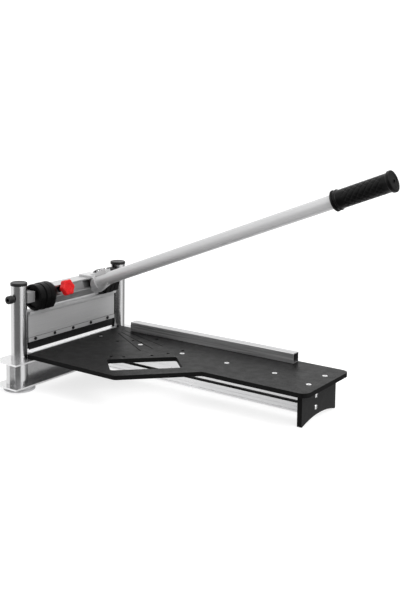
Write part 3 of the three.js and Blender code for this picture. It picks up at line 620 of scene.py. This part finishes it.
def end_plate():
    lo, hi = span("end_plate")
    foot, rise = 4, 11.5
    centre, half = (lo.y + hi.y) / 2, (hi.y - lo.y) / 2 - foot
    radius = (half ** 2 + rise ** 2) / (2 * rise)
    reach = math.asin(half / radius)
    arch = [(centre + radius * math.sin(reach * t / 20), rise - radius * (1 - math.cos(reach * t / 20)))
            for t in range(-20, 21)]
    outline = [(lo.y, hi.z), (lo.y, 1.5), (lo.y + 1.5, 0), *arch, (hi.y - 1.5, 0), (hi.y, 1.5),
               (hi.y, hi.z)]
    piece = extruded("end_panel", "x", lo.x, hi.x, outline, bevel=0.9)
    settle(piece, "base", "black_plate", PLATE, "end_plate")
    paint_faces(piece, BOARD_EDGE, lambda at, normal: abs(normal.x) < 0.6)
    for i in (1, 2):
        at = middle(f"end_plate_screw_{i}")
        face = hi.x + 0.1
        piece = lofted(f"end_panel_button_screw_{i}", "x", [
            (lo.x + 1, 0), (lo.x + 1, 3), (face, 3), (face, 6), (face + 0.8, 5.9), (face + 1.9, 5.0),
            (face + 2.7, 3.8), (face + 3, 2.9), (face + 3, hexagon(2)), (face + 0.8, hexagon(2)),
            (face + 0.8, 0),
        ], 48)
        settle(piece, "base", "steel", STEEL, f"end_plate_screw_{i}",
               place=Matrix.Translation((0, at.y, at.z)))
        # Painted shade: the hex socket inside each head is coloured black.
        paint_faces(piece, BLACK_STEEL_AND_RECESS_SHADE, lambda spot, normal: spot.x < face + 2.9
                    and math.hypot(spot.y - at.y, spot.z - at.z) < 2.4)


# ---------------------------------------------------------------- fence

def fence():
    lo, hi = span("fence")
    corners = [(lo.y, lo.z), (hi.y, lo.z), (hi.y, hi.z), (lo.y, hi.z)]
    inner = [(lo.y + 2, lo.z + 2), (hi.y - 2, lo.z + 2), (hi.y - 2, hi.z - 2), (lo.y + 2, hi.z - 2)]
    piece = extruded("fence_tube", "x", lo.x, hi.x, soft(corners, 0.8), [soft(inner, 0.6)],
                     bevel=0.2)
    settle(piece, "side_fence", "aluminium", FENCE_METAL, "fence")
    # Painted shade: the inner walls of the hollow tube take the dark slot shade material.
    paint_faces(piece, SLOT_SHADE_METAL, lambda at, normal: abs(normal.x) < 0.5
                and lo.y + 1.5 < at.y < hi.y - 1.5 and lo.z + 1.5 < at.z < hi.z - 1.5)
    for i in (1, 2):
        piece = refined(f"fence_dowel_{i}", f"fence_pin_{i}", 0.3)
        settle(piece, "side_fence", "steel", STEEL, f"fence_pin_{i}")


# ---------------------------------------------------------------- carriage and blade

def carriage():
    lo, hi = span("blade_carriage")
    h, rail, top = 7.5, 14, hi.z
    back = 1.9
    outline = [
        (-h, lo.z), (back, lo.z), (back, 122.8), (h, 122.8), (h, 132.4), (h - 0.5, 132.9),
        (h, 133.4), (h, 176.4), (h - 0.6, 177), (h, 177.6), (h, 181), (rail, 182.4),
        (rail, top - 0.8), (rail - 0.8, top), (-rail + 0.8, top), (-rail, top - 0.8),
        (-rail, 182.4), (-h, 181), (-h, 177.6), (-h + 0.6, 177), (-h, 176.4),
    ]
    chambers = [soft([(-h + 3, z0), (h - 3, z0), (h - 3, z1), (-h + 3, z1)], 1)
                for z0, z1 in ((128.5, 148), (152, 178))]
    piece = extruded("carriage_extrusion", "y", lo.y, hi.y, outline, chambers, bevel=0.2)
    settle(piece, "carriage", "aluminium", RAIL_METAL, "blade_carriage")
    piece = refined("shear_blade", "blade", 0.12)
    settle(piece, "carriage", "blade_steel", BLADE_STEEL, "blade")
    piece = refined("blade_strip", "blade_clamp", 1.0)
    settle(piece, "carriage", "aluminium", RAIL_METAL, "blade_clamp")
    # Painted shade: the clamp's top faces take the dark slot shade material.
    top = span("blade_clamp")[1].z
    paint_faces(piece, SLOT_SHADE_METAL, lambda at, normal: at.z > top - 1)
    for i in range(1, 6):
        at = middle(f"clamp_screw_{i}")
        lo, hi = span(f"clamp_screw_{i}")
        piece = lofted(f"blade_socket_screw_{i}", "x", [
            (lo.x, 0), (lo.x, 2.5), (hi.x - 2.8, 2.5), (hi.x - 2.8, 3.8), (hi.x - 2.5, 4),
            (hi.x - 0.5, 4), (hi.x, 3.5), (hi.x, hexagon(1.7)), (hi.x - 1.9, hexagon(1.7)),
            (hi.x - 1.9, 0),
        ], 48)
        settle(piece, "carriage", "black_steel", BLACK_STEEL_AND_RECESS_SHADE, f"clamp_screw_{i}",
               place=Matrix.Translation((0, at.y, at.z)))


# ---------------------------------------------------------------- lever head and knob

def lever_beam():
    lo, hi = span("lever_beam")
    outline = rounded([
        (-14, 18, 1.5), (-14, -20, 1), (-4, -31, 2), (12, -31, 2), (26, -12, 1), (26, -8, 0.8),
        (18.2, -8, 0.6), (11.8, 13.8, 0.6), (28, 13.8, 0.8), (28, 18, 1),
    ], 4)
    piece = extruded("head_channel", "y", lo.y, hi.y, [(u, v + PIVOT_Z) for u, v in outline],
                     bevel=0.3)
    hole = lofted("stud_clearance", "x", [(-12, 4.4), (8, 4.4)], 48)
    hole.data.transform(KNOB_AXIS)
    carve(piece, [hole])
    settle(piece, "lever", "bright_aluminium", HEAD_METAL, "lever_beam")


def clamp_knob():
    def lobed(radius, depth=1.7):
        return star(radius - depth, depth, 6)

    piece = lofted("star_knob", "x", [
        (17.2, 0), (17.2, 7), (17.6, 7.5), (21, 7.5), (21, lobed(18.4, 1.1)),
        (21.5, lobed(19.8, 1.3)), (22.8, lobed(21, 1.5)), (32.6, lobed(21, 1.5)),
        (34.6, lobed(20.2, 1.4)), (35.6, lobed(18.6, 1.2)), (36, lobed(16.4, 1.0)), (36, 10),
        (35.2, 9.2), (35, 5), (35, 0),
    ], 96)
    settle(piece, "knob", "red_plastic", RED, "clamp_knob", place=KNOB_AXIS)
    thread = [(-6, 3)]
    for i in range(22):
        thread += [(-5.5 + i, 3.9), (-5.0 + i, 3.35)]
    piece = lofted("knob_thread", "x", [(-6, 0), *thread, (16.9, 3.3), (16.9, 0)], 32)
    settle(piece, "knob", "steel", STEEL, "knob_stud", place=KNOB_AXIS)
    piece = lofted("knob_bush", "x", [
        (0.6, 4.4), (0.6, 7), (1, 7.5), (8.8, 7.5), (11.4, 6.6), (12, 6), (12, 4.4),
    ], 48, is_ring=True)
    settle(piece, "knob_washer", "black_plastic", PLASTIC, "knob_collar", place=KNOB_AXIS)


# ---------------------------------------------------------------- lever arm

def lever_socket():
    piece = refined("tube_socket", "lever_socket", 0.7)
    settle(piece, "lever", "bright_aluminium", CAST_METAL, "lever_socket")
    face = 15.1
    for i, x in enumerate((46, 59, 71), 1):
        piece = lofted(f"socket_cap_screw_{i}", "z", [
            (7.4, 0), (7.4, 2.5), (face, 2.5), (face, 4.3), (face + 0.3, 4.5), (face + 4, 4.5),
            (face + 4.6, 3.9), (face + 4.6, hexagon(2)), (face + 1.8, hexagon(2)), (face + 1.8, 0),
        ], 48)
        piece.data.transform(Matrix.Translation((x, CENTRE_Y + 1.5, 0)))
        settle(piece, "lever", "black_steel", STEEL, f"socket_screw_{i}", world=ARM)
        # Painted shade: the hex socket inside each head is coloured black.
        paint_faces(piece, BLACK_STEEL_AND_RECESS_SHADE, lambda at, normal: at.z < face + 4.5
                    and math.hypot(at.x - x, at.y - CENTRE_Y - 1.5) < 2.4)


def lever_tube():
    piece = lofted("handle_tube", "x", [
        (34, 13.8), (34, 15.6), (34.4, 16), (894.6, 16), (895, 15.6), (895, 13.5),
    ], 80, is_ring=True)
    settle(piece, "lever", "bright_aluminium", TUBE_METAL, "lever_tube", place=TUBE_AXIS,
           world=ARM)


def diamonds(height, base, rise):
    """Radius of a grip covered with raised diamonds, at one height."""
    def radius(a):
        u = 9 * a / TURN + height / 15
        v = 9 * a / TURN - height / 15
        ridge = min(abs(math.sin(math.pi * u)), abs(math.sin(math.pi * v)))
        return base + rise * min(1.0, ridge * 2.6)
    return radius


def lever_grip():
    start, end, r = 758, 901, 21
    bore, flange = 16.3, 24
    sections = [
        (start, bore), (start, flange - 1), (start + 0.8, flange), (start + 2.4, flange),
        (start + 3.2, flange - 1), (start + 4, r), (start + 8, r), (start + 8.8, flange - 1.4),
        (start + 9.6, flange - 0.5), (start + 11.6, flange - 0.5), (start + 12.6, flange - 1.6),
        (start + 14, r), (start + 26, r),
    ]
    height = start + 27
    while height < end - 20:
        sections.append((height, diamonds(height - start, 19.9, 1.1)))
        height += 1.1
    sections += [
        (end - 19, r), (end - 11, r), (end - 9, r + 1.4), (end - 8, flange - 0.5),
        (end - 6.5, flange), (end - 1.5, flange), (end - 0.4, flange - 0.8), (end, flange - 2),
        (end, 17), (end - 0.8, 16.4), (end - 0.8, 5.6), (end, 5), (end, 4), (end - 5.6, 4),
        (end - 5.6, bore),
    ]
    piece = lofted("handle_grip", "x", sections, 108, is_ring=True)
    settle(piece, "lever", "grip_rubber", RUBBER, "lever_grip", place=TUBE_AXIS, world=ARM,
           sharp=50)


# ---------------------------------------------------------------- build

CAM_REACH = cam_reach()
for side in SIDES:
    post(side)
    post_cap(side)
    foot_pad(side)
    pivot_block(side)
    pivot_bolt(side)
    guide_shoe(side)
    cam(side, CAM_REACH)
base_parts()
table_board()
for number in range(1, 8):
    table_screw(number)
support_beam()
end_plate()
fence()
carriage()
lever_beam()
clamp_knob()
lever_socket()
lever_tube()
lever_grip()


# ---------------------------------------------------------------- camera, floor and light

CAMERA_PLACE = (1.5734, -1.5318, 0.70996)
CAMERA_TURN = (0.62587, 0.10656, 0.01138)  # yaw, pitch and roll in radians


def camera():
    data = bpy.data.cameras.new("camera")
    holder = new_object("camera", data)
    yaw, pitch, roll = CAMERA_TURN
    forward = Vector((-math.sin(yaw) * math.cos(pitch), math.cos(yaw) * math.cos(pitch),
                      -math.sin(pitch)))
    right = forward.cross(Vector((0, 0, 1))).normalized()
    up = right.cross(forward)
    c, s = math.cos(roll), math.sin(roll)
    right, up = c * right + s * up, c * up - s * right
    turn = Matrix((right, up, -forward)).transposed().to_4x4()
    holder.matrix_world = Matrix.Translation(CAMERA_PLACE) @ turn
    data.sensor_width = 36
    data.lens = 54.446
    data.shift_x = 0.04077
    data.shift_y = -0.17388
    data.clip_end = 60
    bpy.context.scene.camera = holder


def floor():
    mesh = bpy.data.meshes.new("floor")
    reach = 25
    mesh.from_pydata([(-reach, -reach, 0), (reach, -reach, 0), (reach, reach, 0),
                      (-reach, reach, 0)], [], [(0, 1, 2, 3)])
    plane = new_object("floor", mesh)
    material, tree, principled = shader("floor_paint", 0.8)
    clouds = pattern(tree, (3, 3, 3), 2)
    tint(tree, principled, clouds, (0.35, 0.35, 0.35), (0.37, 0.37, 0.37))
    principled.inputs["Emission Color"].default_value = (1, 1, 1, 1)
    principled.inputs["Emission Strength"].default_value = 0.75
    mesh.materials.append(material)
    plane.visible_glossy = False


def lamp(name, location, size, energy):
    data = bpy.data.lights.new(name, "AREA")
    data.shape = "DISK"
    data.size = size
    data.energy = energy
    holder = new_object(name, data)
    holder.location = location
    aim = Vector((0.3, 0.19, 0.1)) - holder.location
    holder.rotation_euler = aim.to_track_quat("-Z", "Y").to_euler()


# Grey level of the studio walls by direction, as shares of a full turn.
WALLS = [
    (0.0, 1.05), (0.15, 1.05), (0.19, 0.20), (0.41, 0.16), (0.45, 1.05), (0.58, 1.05),
    (0.62, 0.34), (0.72, 0.34), (0.78, 1.15), (1.0, 1.15),
]


def studio():
    world = bpy.data.worlds.new("studio")
    bpy.context.scene.world = world
    world.use_nodes = True
    tree = world.node_tree
    place = tree.nodes.new("ShaderNodeTexCoord")
    turn = tree.nodes.new("ShaderNodeTexGradient")
    turn.gradient_type = "RADIAL"
    tree.links.new(place.outputs["Generated"], turn.inputs["Vector"])
    walls = tree.nodes.new("ShaderNodeValToRGB")
    stops = walls.color_ramp.elements
    while len(stops) < len(WALLS):
        stops.new(0.5)
    for stop, (position, value) in zip(stops, WALLS):
        stop.position = position
    for stop, (position, value) in zip(stops, WALLS):
        stop.color = (value, value, value, 1)
    tree.links.new(turn.outputs["Fac"], walls.inputs["Fac"])
    split = tree.nodes.new("ShaderNodeSeparateXYZ")
    tree.links.new(place.outputs["Generated"], split.inputs["Vector"])
    height = spread(tree, split, 0, 1, 0.35, 0.75, "Z")
    mix = tree.nodes.new("ShaderNodeMixRGB")
    mix.inputs["Color2"].default_value = (1.25, 1.25, 1.25, 1)
    tree.links.new(height.outputs[0], mix.inputs["Fac"])
    tree.links.new(walls.outputs["Color"], mix.inputs["Color1"])
    tree.links.new(mix.outputs["Color"], tree.nodes["Background"].inputs["Color"])
    lamp("key", (1.45, -0.1, 1.3), 1.1, 10)
    lamp("fill", (-0.9, -1.8, 1.4), 1.6, 4)
    lamp("top", (0.3, 0.5, 2.3), 1.8, 11)


camera()
floor()
studio()
bpy.context.scene.view_settings.view_transform = "Standard"
